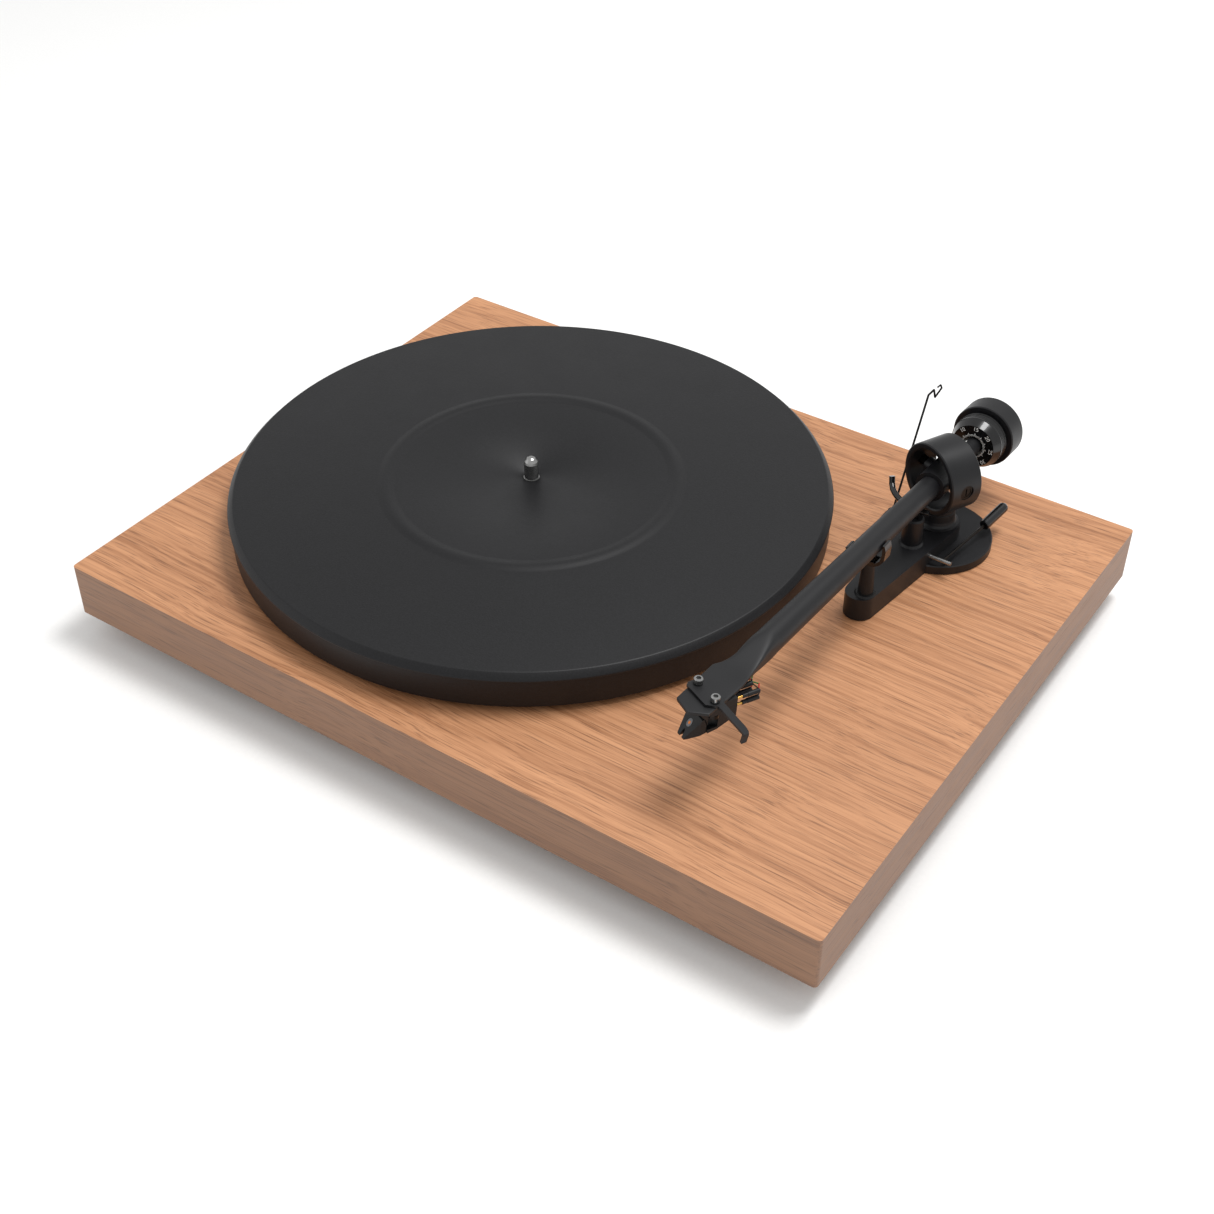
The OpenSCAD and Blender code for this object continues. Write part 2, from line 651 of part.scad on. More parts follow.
module rest_post() color("#151516") translate([post_at[0], post_at[1], 0]) {
    translate([0, 0, deck + 5.1]) cylinder(r = 2, h = 8);
    translate([0, 0, deck + beam_h]) cylinder(r1 = 5.2, r2 = 4.6, h = 0.9);
    translate([0, 0, deck + beam_h + 0.9 - eps]) cylinder(r1 = 3.7, r2 = 2.9, h = post_top - deck - beam_h - 0.9);
}

// Fork open at the top: a tall outer prong, a floor under the lowered tube and a low inner lip
clip_floor = deck + 33.3;

module rest_clip() color("#0d0d0e") translate([0, post_at[1] + 3, 0]) rotate([90, 0, 0]) linear_extrude(6)
    polygon([[post_at[0] - 3.4, post_top], [post_at[0] + 3.4, post_top],
        [post_at[0] + 4.6, clip_floor - 1.6], [133.2, clip_floor - 0.2], [135.2, clip_floor + 3],
        [135.6, clip_floor + 8.4], [134.8, clip_floor + 11.2], [133.7, clip_floor + 11.2],
        [133.9, clip_floor + 6], [133, clip_floor + 2.2], [131, clip_floor],
        [121.6, clip_floor], [118.4, clip_floor + 2.8], [116.4, clip_floor + 3.3],
        [115.4, clip_floor + 2.6], [119, clip_floor - 1.2], [post_at[0] - 4.6, clip_floor - 1.8]]);

wire_foot = [pivot_x - base_disc_r + 4, pivot_y - 0.4, deck + 2.1];
wire_bend = [108.4, 113.7, deck + 68];
hook = [[2.5, 3.9], [3.4, -0.1], [6.2, 6.2], [5.5, 7.7], [4.1, 5.8]];

module skating_wire() color("#0e0e0f")
    wire(concat([wire_foot, wire_bend], [for (h = hook) wire_bend + [h[0], 0, h[1]]]), 0.55);

// ---------- gimbal ----------

module gimbal_ring() color("#202022") in_ring() difference() {
    union() {
        rotate([90, 0, 0]) translate([0, 0, -ring_half]) rotate_extrude() polygon([
            [ring_inner_r + 0.7, 0], [ring_r - 0.5, 0], [ring_r, 0.5], [ring_r, 2 * ring_half - 0.5],
            [ring_r - 0.5, 2 * ring_half], [ring_inner_r + 0.7, 2 * ring_half],
            [ring_inner_r, 2 * ring_half - 0.7], [ring_inner_r, 0.7]]);
        translate([0, 0, -ring_r - 0.6]) cylinder(r = 8.6, h = 3.4);
    }
    for (side = [0, 180]) rotate([0, 0, side]) rotate([0, 90, 0]) {
        cylinder(r = 2.6, h = ring_r + 1);
        translate([0, 0, ring_r - 1.3]) cylinder(r = 3.8, h = 3);
    }
    translate([0, 0, -ring_r - 2]) cylinder(r = yaw_shaft_r + 0.02, h = 4.4);
}

module yaw_shaft() color("silver") translate([pivot_x, pivot_y, 0])
    translate([0, 0, deck + 1]) ring(yaw_shaft_r, 1.6, pivot[2] - ring_r + 2.3 - deck - 1);

module pivot_screws() color("#5d5348") in_ring() for (side = [0, 180]) rotate([0, 0, side])
    rotate([0, 90, 0]) difference() {
        union() {
            translate([0, 0, 12.2]) cylinder(r = 2.5, h = ring_r - 13);
            translate([0, 0, 10.3]) cylinder(r1 = 0.1, r2 = 1.3, h = 1.2);
            translate([0, 0, 11.5 - eps]) cylinder(r = 1.3, h = 0.8);
        }
        translate([-1.9, -0.35, ring_r - 1.3]) cube([3.8, 0.7, 2]);
    }

module pivot_locknuts() color("#3a3633") in_ring() for (side = [0, 180]) rotate([0, 0, side])
    rotate([0, 90, 0]) translate([0, 0, ring_r - 1.3]) ring(3.6, 2.5 + near_gap, 0.7);

// ---------- tonearm ----------

flare_from = 176;
flare_to = 193;
shell_front = 219;
shell_tip = 223.6;

module shell_outline() {
    polygon([[-shell_left, -flare_to], [-shell_left, -shell_front], [screw_shift, -shell_tip],
        [shell_right, -shell_front], [shell_right, -flare_to]]);
}

module arm_tube() color("#242426") in_arm() difference() {
    union() {
        along_tube(3, flare_from, tube_r0, tube_r1);
        hull() {
            along_tube(flare_from - 0.4, flare_from, tube_r1 - 0.02, tube_r1, $fn = 32);
            translate([0, -flare_to - 4, shell_z - shell_t]) linear_extrude(shell_t)
                translate([-shell_left, 0]) square([shell_left + shell_right, 4]);
            translate([0.6, -flare_to + 3, 1.6]) sphere(r = 2, $fn = 24);
        }
        translate([0, 0, shell_z - shell_t]) linear_extrude(shell_t) shell_outline();
    }
    translate([screw_shift, -screws_reach, 0]) rotate([0, 0, -offset_angle])
        for (side = [-1, 1]) translate([side * screw_pitch / 2, 0, -4]) cylinder(r = screw_r + near_gap, h = 8);
}

module arm_collar() color("#1a1a1c") difference() {
    union() {
        in_arm() along_tube(-collar_half, collar_half + 3, collar_r, collar_r);
        in_ring() rotate([0, 90, 0]) translate([0, 0, -cross_half]) cylinder(r = 3.6, h = 2 * cross_half);
    }
    in_arm() along_tube(2.9, 17, tube_r0 + near_gap, tube_r0 + near_gap);
    in_arm() along_tube(-14, -2.9, stub_r + near_gap, stub_r + near_gap);
    in_ring() for (side = [0, 180]) rotate([0, 0, side]) rotate([0, 90, 0])
        translate([0, 0, 10.2]) cylinder(r1 = 0.1, r2 = 1.9, h = 1.8);
}

module rear_stub() color("#222224") in_arm() rotate([-90, 0, 0]) translate([0, 0, 3])
    chamfered(stub_r, stub_end - 3, 0.5);

module finger_lift() color("#2a2a2c") in_cartridge() difference() {
    union() {
        translate([0, 0, shell_z]) linear_extrude(lift_plate_t) polygon([
            [-8.9, 4.2], [-6.8, 4.8], [6.6, 4.8], [8.8, 2.6], [24.6, 2.4], [27.6, 1.9],
            [28.6, 1.3], [28.6, -1.1], [26.6, -0.8], [12, -0.6], [9.4, -0.8], [8.2, -2.6],
            [6.4, -4.8], [-7.6, -4.8], [-8.9, -3.4]]);
        translate([27.4, 0, shell_z + 0.4]) rotate([0, 12, 0]) translate([0, -1.1, -4.6]) cube([1.2, 2.5, 5]);
    }
    for (side = [-1, 1]) translate([side * screw_pitch / 2, 0, 0]) cylinder(r = screw_r + near_gap, h = 6);
}

shell_under = shell_z - shell_t;

module cartridge_screws() color("silver") in_cartridge()
    for (side = [-1, 1]) translate([side * screw_pitch / 2, 0, 0]) {
        translate([0, 0, shell_under - 5.4]) cylinder(r = screw_r, h = 5.4 + shell_t + lift_plate_t + 0.2);
        translate([0, 0, shell_z + lift_plate_t]) difference() {
            chamfered(2, 2.7, 0.3);
            translate([0, 0, 1.3]) cylinder(r = 1.15, h = 3, $fn = 6);
        }
        translate([0, 0, shell_under - 5.2]) ring(2.2, screw_r - 0.05, 1.6);
    }

// Wedge-shaped body: flat under the headshell, underside falling towards the front
module cartridge_body() color("#0f0f10") in_cartridge() difference() {
    union() {
        translate([-6.2, 0, 0]) rotate([90, 0, 90]) linear_extrude(12.4) polygon([
            [11.4, shell_under], [11.4, -9.4], [2.6, -13.2], [-2.2, -13.9], [-2.4, -9.4], [-3.4, -6.4], [-5.2, -4.4], [-5.4, shell_under]]);
        translate([-8.4, -3, shell_under - 3.4]) cube([16.8, 6, 3.4]);
    }
    for (side = [-1, 1]) translate([side * screw_pitch / 2, 0, 0]) {
        translate([0, 0, -9]) cylinder(r = screw_r + near_gap, h = 10);
        translate([0, 0, -12]) cylinder(r = 2.5, h = 12 + shell_under - 3.4);
    }
}

pin_at = [for (sx = [-1, 1], z = [-4, -7.4]) [sx * 2.6, 11.3, z]];

module contact_pins() color("gold") in_cartridge()
    for (p = pin_at) translate(p) rotate([-90, 0, 0]) translate([0, 0, 0.1]) cylinder(r = 0.6, h = 7.4);

module tag_sleeves() color("#161616") in_cartridge()
    for (p = pin_at) translate(p) rotate([-90, 0, 0]) {
        translate([0, 0, 5]) ring(0.95, 0.65, 2.6);
        translate([0, 0, 7.6 - eps]) cylinder(r = 1.1, h = 5.6);
    }

wire_colours = ["red", "white", "green", "black"];
wire_mid = [[5.6, -184.6, -3.9], [5.3, -183.6, -7.5], [9.2, -184.8, -4.2], [9.6, -184, -7.9]];
wire_low = [[1.0, -182.8, -7.2], [0.8, -181.2, -8.8], [3.4, -182.4, -7.3], [3.2, -180.6, -9.2]];
wire_entry = [[0.2, -178.8, -5.6], [-1, -176.6, -5.6], [2, -178.4, -5.4], [1.6, -175.8, -5.6]];

module cartridge_wires() in_arm() {
    for (i = [0:3]) {
        a = offset_angle;
        q = [pin_at[i][0], pin_at[i][1] + 13];
        start = [screw_shift + q[0] * cos(a) + q[1] * sin(a),
            -screws_reach - q[0] * sin(a) + q[1] * cos(a), pin_at[i][2]];
        color(wire_colours[i]) wire([start, wire_mid[i], wire_low[i], wire_entry[i]], 0.3);
    }
}

// Wedge with a forked nose that slides onto the body's front
module stylus_holder() color("#131314") in_cartridge() intersection() {
    translate([-6, 0, 0]) rotate([90, 0, 90]) linear_extrude(12) polygon([
        [-3.55, -6.7], [-2.55, -9.6], [-2.35, -13.9], [-9.4, -16.5], [-10.9, -16.8], [-10.9, -16.1],
        [-8.4, -12.6], [-5.6, -8.9], [-4.4, -6.9]]);
    translate([0, 0, -20]) linear_extrude(14) polygon([
        [-5.6, -2], [5.6, -2], [5.2, -5], [2.3, -10.9], [0.8, -10.9], [0.5, -9], [-0.5, -9],
        [-0.8, -10.9], [-2.3, -10.9], [-5.2, -5]]);
}

module cantilever() color("silver") in_cartridge() {
    rod([0, -3.4, -14.1], [0, -8.7, -16.6], 0.28);
    translate([0, -8.6, -17.25]) cylinder(r1 = 0.08, r2 = 0.22, h = 0.8);
}

// ---------- counterweight ----------

bush_out_r = 6;

module weight_bush() color("ivory") in_arm() behind_pivot([
    [scale_front + 3, stub_r + run_fit], [scale_front + 3, bush_out_r],
    [weight_back - 1.5, bush_out_r], [weight_back - 1.5, stub_r + run_fit]]);

module counterweight() color("#262629") in_arm() behind_pivot([
    [scale_front + 2, bush_out_r + run_fit], [scale_front + 2, 8.2], [weight_front - 0.6, 8.2], [weight_front, 8.6],
    [weight_front, weight_r - 0.5], [weight_front + 0.5, weight_r], [weight_back - 0.9, weight_r],
    [weight_back, weight_r - 0.9], [weight_back, stub_r + 0.6], [weight_back - 1.2, stub_r + 0.6],
    [weight_back - 1.2, bush_out_r + run_fit]]);

module scale_ring() color("#161617") in_arm() behind_pivot(concat([
    [scale_front, 5.2], [scale_front, scale_face_r], [scale_rim, scale_r - 0.3], [scale_rim + 0.3, scale_r]],
    [for (g = [0:3], k = [0:3]) [scale_rim + 1 + g * 1.2 + k * 0.3, scale_r - (k == 1 || k == 2 ? 0.35 : 0)]],
    [[scale_back, scale_r], [scale_back, 8.25], [scale_front + 1.8, 8.25], [scale_front + 1.8, 5.2]]));

// ---------- assembly ----------

plinth();
foot_cups();
foot_pads();
foot_bolts();
bearing_housing();
bearing_bush();
thrust_pad();
thrust_ball();
bearing_screws();
motor_can();
motor_bracket();
motor_grommets();
motor_screws();
motor_cover();
circuit_board();
socket_plate();
phono_sockets();
power_socket();
earth_terminal();
board_cover();
cover_screws();
switch_body();
lead_wires();
arm_base();
arm_base_nut();
arm_pillar();
pillar_bearings();
lift_cylinder();
rest_post();
rest_clip();
skating_wire();
drive_belt();
sub_platter();
spindle_shaft();
platter();
damping_ring();
motor_pulley();
motor_shaft();
switch_rocker();
lift_bow();
lift_lever();
lever_sleeve();
gimbal_ring();
yaw_shaft();
pivot_screws();
pivot_locknuts();
arm_tube();
arm_collar();
rear_stub();
finger_lift();
cartridge_body();
cartridge_screws();
contact_pins();
tag_sleeves();
cartridge_wires();
stylus_holder();
cantilever();
weight_bush();
counterweight();
scale_ring();
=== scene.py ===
import json
import math

import bmesh
import bpy
from mathutils import Matrix, Vector


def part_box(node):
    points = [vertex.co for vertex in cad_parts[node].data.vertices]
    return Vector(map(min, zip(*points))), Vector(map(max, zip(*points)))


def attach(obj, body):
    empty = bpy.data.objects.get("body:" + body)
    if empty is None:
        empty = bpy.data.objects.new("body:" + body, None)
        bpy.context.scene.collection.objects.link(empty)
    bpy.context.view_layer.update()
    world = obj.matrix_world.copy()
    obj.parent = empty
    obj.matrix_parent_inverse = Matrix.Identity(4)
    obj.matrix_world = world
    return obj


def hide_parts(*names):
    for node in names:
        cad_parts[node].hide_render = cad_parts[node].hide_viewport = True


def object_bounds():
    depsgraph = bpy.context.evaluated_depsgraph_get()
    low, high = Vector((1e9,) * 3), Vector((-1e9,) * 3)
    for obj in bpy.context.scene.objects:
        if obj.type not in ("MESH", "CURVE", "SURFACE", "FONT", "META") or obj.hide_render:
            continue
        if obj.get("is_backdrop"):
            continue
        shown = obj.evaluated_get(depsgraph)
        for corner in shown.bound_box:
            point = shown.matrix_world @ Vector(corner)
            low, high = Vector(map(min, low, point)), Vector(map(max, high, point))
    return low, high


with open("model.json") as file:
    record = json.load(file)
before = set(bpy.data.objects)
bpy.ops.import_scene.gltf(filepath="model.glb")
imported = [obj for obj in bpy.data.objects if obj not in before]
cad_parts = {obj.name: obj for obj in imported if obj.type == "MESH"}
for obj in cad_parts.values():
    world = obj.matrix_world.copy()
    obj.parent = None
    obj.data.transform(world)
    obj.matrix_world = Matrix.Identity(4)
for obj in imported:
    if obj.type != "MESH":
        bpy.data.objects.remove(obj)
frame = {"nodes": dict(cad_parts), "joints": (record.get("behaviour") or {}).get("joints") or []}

bl_info = {
    "name": "Belt-Drive Record Player",
    "version": (1, 0, 0),
    "blender": (4, 5, 0),
    "location": "3D View > Sidebar > Record Player",
    "description": "Dresses a wood-veneered turntable with its tonearm, platter and drive",
    "category": "Object",
}

MM = 0.001
FLARE_START = 161.4   # mm from the pivot to where the round tube begins to flatten
FLARE_LENGTH = 29.6   # mm over which it becomes the flat headshell
PLATE_TOP = 1.48      # mm, top of the headshell above the tube's axis


# ---------- numbers a user can change ----------

def colour(name, text, value):
    return bpy.props.StringProperty(name=name, description=text, default=value)


class RP_Colours(bpy.types.PropertyGroup):
    veneer_light: colour("Veneer light", "Pale summer growth of the veneer, sRGB hex", "#cc946a")
    veneer_dark: colour("Veneer dark", "Dark streaks of the veneer, sRGB hex", "#96633f")
    veneer_pore: colour("Veneer pore", "Open pores cut through the grain, sRGB hex", "#54331f")
    # Painted shade: this greyer, darker colour is mixed into the plinth's sides, where the light from above falls
    # weaker
    side_shade_grey: colour("Edge veneer", "Greyer veneer on the four edges, sRGB hex", "#5d4d44")
    powder: colour("Powder coat", "Textured coat of the platter, sRGB hex", "#121214")
    satin: colour("Satin black", "Painted metal of the tonearm, sRGB hex", "#141416")
    gloss: colour("Gloss black", "Polished plastic of the dial and lever, sRGB hex", "#0c0c0d")
    plastic: colour("Black plastic", "Moulded parts, sRGB hex", "#0f0f10")
    rubber: colour("Rubber", "Belt, pads and damping ring, sRGB hex", "#101010")
    steel: colour("Steel", "Turned and polished steel, sRGB hex", "#a3a3a2")
    blackened: colour("Blackened steel", "Oiled dark steel screws, sRGB hex", "#2c2a28")
    brass: colour("Brass", "Turned brass, sRGB hex", "#c39a55")
    gold: colour("Gold plate", "Plated contacts, sRGB hex", "#dcae5c")
    aluminium: colour("Aluminium", "Turned aluminium, sRGB hex", "#c4c6c8")
    paint_mark: colour("Marking", "Printed dial marks, sRGB hex", "#e9e9e6")
    floor: colour("Floor", "Studio floor, sRGB hex", "#f4f4f3")


class RP_Sizes(bpy.types.PropertyGroup):
    lathe_steps: bpy.props.IntProperty(
        name="Lathe steps", description="Facets round a turned part", default=256, min=48)
    soft_edge: bpy.props.FloatProperty(
        name="Soft edge", description="Rounding on machined edges", default=0.0003, unit="LENGTH")
    plinth_edge: bpy.props.FloatProperty(
        name="Plinth edge", description="Rounding on the veneered edges", default=0.0006, unit="LENGTH")
    figure: bpy.props.FloatProperty(
        name="Grain figure", description="Width of one growth band", default=0.0042, unit="LENGTH")
    pore: bpy.props.FloatProperty(
        name="Pore width", description="Width of an open pore", default=0.0006, unit="LENGTH")
    coat_grain: bpy.props.FloatProperty(
        name="Coat grain", description="Size of the powder coat's bumps", default=0.0007, unit="LENGTH")
    screws_reach: bpy.props.FloatProperty(
        name="Cartridge reach", description="Pivot to cartridge screws", default=0.2098, unit="LENGTH")


def colours():
    return bpy.context.scene.rp_colours


def sizes():
    return bpy.context.scene.rp_sizes


# ---------- material helpers ----------

def linear(hex_text):
    """sRGB hex to linear RGBA."""
    channels = [int(hex_text[i:i + 2], 16) / 255 for i in (1, 3, 5)]
    return [c / 12.92 if c <= 0.04045 else ((c + 0.055) / 1.055) ** 2.4 for c in channels] + [1.0]


def add(tree, kind, settings=None, **links):
    """One node with its settings and input links; a link is a socket or a plain value."""
    n = tree.nodes.new(kind)
    for key, value in (settings or {}).items():
        setattr(n, key, value)
    for key, value in links.items():
        index = int(key[1:]) if key[0] == "i" and key[1:].isdigit() else None
        socket = n.inputs[index if index is not None else key.replace("_", " ")]
        if isinstance(value, bpy.types.NodeSocket):
            tree.links.new(value, socket)
        else:
            socket.default_value = value
    return n


def ramp(tree, fac, stops):
    n = add(tree, "ShaderNodeValToRGB", Fac=fac)
    elements = n.color_ramp.elements
    while len(elements) < len(stops):
        elements.new(0.5)
    for element, (place, value) in zip(elements, stops):
        element.position = place
        element.color = value if hasattr(value, "__len__") else (value, value, value, 1)
    return n.outputs["Color"]


def material(name):
    found = bpy.data.materials.get(name)
    if found:
        return found, None, None
    m = bpy.data.materials.new(name)
    m.use_nodes = True
    return m, m.node_tree, m.node_tree.nodes["Principled BSDF"]


def walnut():
    """Walnut veneer, sliced, sanded and oiled: long bands, fine open pores and a low satin sheen."""
    m, t, bsdf = material("walnut_veneer_oiled")
    if t is None:
        return m
    c, s = colours(), sizes()
    coord = add(t, "ShaderNodeTexCoord").outputs["Object"]
    normal = add(t, "ShaderNodeNewGeometry").outputs["Normal"]
    n = add(t, "ShaderNodeSeparateXYZ", Vector=normal)
    p = add(t, "ShaderNodeSeparateXYZ", Vector=coord)
    nx = add(t, "ShaderNodeMath", {"operation": "ABSOLUTE"}, i0=n.outputs["X"]).outputs[0]
    side = add(t, "ShaderNodeMath", {"operation": "GREATER_THAN"}, i0=nx, i1=0.7).outputs[0]
    swapped = add(t, "ShaderNodeCombineXYZ", X=p.outputs["Y"], Y=p.outputs["X"], Z=p.outputs["Z"]).outputs[0]
    place = add(t, "ShaderNodeMix", {"data_type": "VECTOR"}, i0=side, i4=coord, i5=swapped).outputs[1]
    wave = add(t, "ShaderNodeTexNoise", Vector=place, Scale=7.0, Detail=2.0).outputs["Fac"]
    shift = add(t, "ShaderNodeMath", {"operation": "MULTIPLY"}, i0=wave, i1=0.014).outputs[0]
    push = add(t, "ShaderNodeCombineXYZ", X=0.0, Y=shift, Z=shift).outputs[0]
    bent = add(t, "ShaderNodeVectorMath", {"operation": "ADD"}, i0=place, i1=push).outputs[0]
    band = 1 / s.figure

    def streaks(along, across, detail, lacunarity=2.0):
        v = add(t, "ShaderNodeVectorMath", {"operation": "MULTIPLY"}, i0=bent, i1=(along, across, across)).outputs[0]
        return add(t, "ShaderNodeTexNoise", Vector=v, Scale=1.0, Detail=detail, Lacunarity=lacunarity).outputs["Fac"]

    broad = streaks(1.6, band * 0.18, 3.0)
    fine = streaks(6.0, band * 1.6, 5.0)
    thin = streaks(7.0, band * 5.5, 3.0)
    pore = streaks(38.0, 1 / s.pore, 2.0)
    both = add(t, "ShaderNodeMix", i0=0.66, i2=broad, i3=fine).outputs[0]
    light, dark, deep = linear(c.veneer_light), linear(c.veneer_dark), linear(c.veneer_pore)
    wood = ramp(t, both, [(0.3, dark), (0.5, [0.35 * a + 0.65 * b for a, b in zip(dark, light)]), (0.68, light)])
    holes = ramp(t, pore, [(0.3, 1.0), (0.44, 0.0)])
    keep = add(t, "ShaderNodeMath", {"operation": "MULTIPLY"}, i0=holes, i1=0.55).outputs[0]
    lines = ramp(t, thin, [(0.32, 0.7), (0.46, 0.0)])
    lined = add(t, "ShaderNodeMix", {"data_type": "RGBA"}, i0=lines, i6=wood, i7=dark).outputs[2]
    top = add(t, "ShaderNodeMix", {"data_type": "RGBA"}, i0=keep, i6=lined, i7=deep).outputs[2]
    # Painted shade: faces that do not point up (sides, bevels, bottom) are mixed 60% toward the side shade colour, so
    # they read darker than the lit top
    shaded_side_mask = add(t, "ShaderNodeMath", {"operation": "LESS_THAN"}, i0=n.outputs["Z"], i1=0.6).outputs[0]
    painted_side_shade = add(t, "ShaderNodeMix", {"data_type": "RGBA", "blend_type": "MIX"}, i0=0.6, i6=top,
                 i7=linear(c.side_shade_grey)).outputs[2]
    final = add(t, "ShaderNodeMix", {"data_type": "RGBA"}, i0=shaded_side_mask, i6=top, i7=painted_side_shade).outputs[2]
    t.links.new(final, bsdf.inputs["Base Color"])
    t.links.new(ramp(t, fine, [(0.3, 0.46), (0.7, 0.58)]), bsdf.inputs["Roughness"])
    relief = add(t, "ShaderNodeMath", {"operation": "SUBTRACT"}, i0=1.0, i1=holes).outputs[0]
    bump = add(t, "ShaderNodeBump", Strength=0.5, Distance=0.00008, Height=relief).outputs[0]
    t.links.new(bump, bsdf.inputs["Normal"])
    return m


def grained(name, base, rough, grain, height, metallic=0.0, spread=0.08, coat=0.0, tint=0.3, specular=0.34):
    """A finish with a fine random grain: its size and depth tell how the surface was made."""
    m, t, bsdf = material(name)
    if t is None:
        return m
    coord = add(t, "ShaderNodeTexCoord").outputs["Object"]
    small = add(t, "ShaderNodeTexNoise", Vector=coord, Scale=1 / grain, Detail=4.0).outputs["Fac"]
    broad = add(t, "ShaderNodeTexNoise", Vector=coord, Scale=45.0, Detail=3.0).outputs["Fac"]
    value = linear(base)
    pale = [min(1.0, v * (1 + tint)) for v in value[:3]] + [1.0]
    deep = [v * (1 - tint) for v in value[:3]] + [1.0]
    t.links.new(ramp(t, small, [(0.35, deep), (0.65, pale)]), bsdf.inputs["Base Color"])
    t.links.new(ramp(t, broad, [(0.3, max(0.02, rough - spread)), (0.7, min(1.0, rough + spread))]),
                bsdf.inputs["Roughness"])
    bump = add(t, "ShaderNodeBump", Strength=0.6, Distance=height, Height=small).outputs[0]
    t.links.new(bump, bsdf.inputs["Normal"])
    bsdf.inputs["Metallic"].default_value = metallic
    bsdf.inputs["Coat Weight"].default_value = coat
    bsdf.inputs["Specular IOR Level"].default_value = specular
    return m


def turned(name, base, rough, pitch=0.00012):
    """Turned metal: rings left by the lathe tool run across the surface and stretch the highlight."""
    m, t, bsdf = material(name)
    if t is None:
        return m
    coord = add(t, "ShaderNodeTexCoord").outputs["Object"]
    v = add(t, "ShaderNodeVectorMath", {"operation": "MULTIPLY"}, i0=coord, i1=(90.0, 90.0, 1 / pitch)).outputs[0]
    rings = add(t, "ShaderNodeTexNoise", Vector=v, Scale=1.0, Detail=3.0).outputs["Fac"]
    smear = add(t, "ShaderNodeTexNoise", Vector=coord, Scale=260.0, Detail=2.0).outputs["Fac"]
    value = linear(base)
    t.links.new(ramp(t, smear, [(0.3, [v * 0.86 for v in value[:3]] + [1.0]), (0.7, value)]),
                bsdf.inputs["Base Color"])
    t.links.new(ramp(t, rings, [(0.3, rough * 0.75), (0.7, rough * 1.25)]), bsdf.inputs["Roughness"])
    bump = add(t, "ShaderNodeBump", Strength=0.3, Distance=0.00001, Height=rings).outputs[0]
    t.links.new(bump, bsdf.inputs["Normal"])
    bsdf.inputs["Metallic"].default_value = 1.0
    return m


def finish(kind):
    c, s = colours(), sizes()
    table = {
        # Electrostatic powder fused in an oven: tiny round bumps, broad soft highlight
        "powder": lambda: grained("powder_coat_textured", c.powder, 0.46, s.coat_grain, 0.0001, tint=0.3,
                                  spread=0.02, specular=0.3),
        # Sprayed and baked satin paint on turned metal: near smooth, dull highlight
        "satin": lambda: grained("satin_paint_sprayed", c.satin, 0.42, 0.0003, 0.000012, tint=0.12),
        # Anodised tube, bead-blasted first: fine even matte
        "anodised": lambda: grained("black_anodised_blasted", c.satin, 0.46, 0.00018, 0.00001, tint=0.15),
        # Injection-moulded plastic from a polished tool: clear highlight
        "gloss": lambda: grained("gloss_plastic_moulded", c.gloss, 0.24, 0.002, 0.000008, spread=0.04, coat=0.4),
        # Plastic from a spark-eroded tool: dry, even grain
        "plastic": lambda: grained("matte_plastic_moulded", c.plastic, 0.5, 0.0004, 0.00003),
        "ivory": lambda: grained("ivory_nylon_moulded", "#d9d6cc", 0.45, 0.0006, 0.00002, tint=0.05),
        # Moulded rubber: dusty and almost without highlight
        "rubber": lambda: grained("rubber_moulded", c.rubber, 0.78, 0.0006, 0.00004),
        "steel": lambda: turned("steel_turned_polished", c.steel, 0.28),
        "blackened": lambda: turned("steel_blackened_turned", c.blackened, 0.34),
        "brass": lambda: turned("brass_turned", c.brass, 0.28),
        "gold": lambda: turned("gold_plated_turned", c.gold, 0.2),
        "aluminium": lambda: turned("aluminium_turned", c.aluminium, 0.3),
        "board": lambda: grained("green_solder_mask", "#1d5a35", 0.3, 0.0012, 0.00002, coat=0.3),
        "mark": lambda: grained("white_screen_print", c.paint_mark, 0.5, 0.0002, 0.000006, tint=0.03),
        "red": lambda: grained("wire_skin_red", "#a81d1d", 0.4, 0.0005, 0.00001),
        "white": lambda: grained("wire_skin_white", "#dcdad4", 0.4, 0.0005, 0.00001, tint=0.05),
        "green": lambda: grained("wire_skin_green", "#1f7a3a", 0.4, 0.0005, 0.00001),
        "black": lambda: grained("wire_skin_black", "#151515", 0.4, 0.0005, 0.00001),
        "grey": lambda: grained("stylus_badge_grey", "#6d6e70", 0.4, 0.0004, 0.00001),
        "orange": lambda: grained("stylus_badge_orange", "#e07a22", 0.4, 0.0004, 0.00001),
        "veneer": walnut,
    }
    return table[kind]()


def dress(names, kind, edge=None):
    """Gives CAD nodes a finish, smooth shading between sharp edges and, with edge, softened edges."""
    for name in names:
        o = frame["nodes"][name]
        o.data.materials.clear()
        o.data.materials.append(finish(kind))
        o.data.shade_smooth()
        o.data.set_sharp_from_angle(angle=math.radians(32))
        if edge:
            bevel = o.modifiers.new("soft_edge", "BEVEL")
            bevel.width = edge
            bevel.segments = 3
            bevel.limit_method = "ANGLE"
            bevel.angle_limit = math.radians(40)
            bevel.harden_normals = True


def split_finish(name, kind, test):
    """A second finish on the faces of a node whose middle passes the test."""
    mesh = frame["nodes"][name].data
    mesh.materials.append(finish(kind))
    for face in mesh.polygons:
        if test(face.center):
            face.material_index = 1


